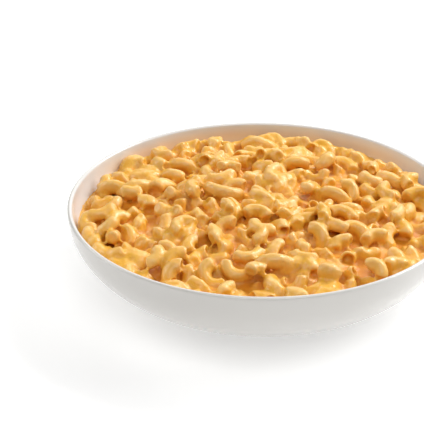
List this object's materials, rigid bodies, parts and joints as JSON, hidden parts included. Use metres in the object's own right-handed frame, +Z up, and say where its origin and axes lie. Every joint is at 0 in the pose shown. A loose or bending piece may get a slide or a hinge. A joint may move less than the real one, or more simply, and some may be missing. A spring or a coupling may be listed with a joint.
{
  "type": "bowl of macaroni and cheese",
  "caption": "Wide shallow white pasta bowl filled to just under its rim with short curved macaroni tubes in a thick orange-yellow cheese sauce.",
  "frame": {"origin": "centre of the bowl's foot ring, on the surface that the bowl stands on", "axes": "+Z up along the bowl's axis; +Y away from the viewer, +X to the viewer's right"},
  "size_m": [0.24, 0.24, 0.0596],
  "materials": {
    "glaze": "gloss",
    "cheese": "satin"
  },
  "bodies": {
    "root": {"bowl": "glaze", "macaroni": "cheese"}
  },
  "joints": []
}
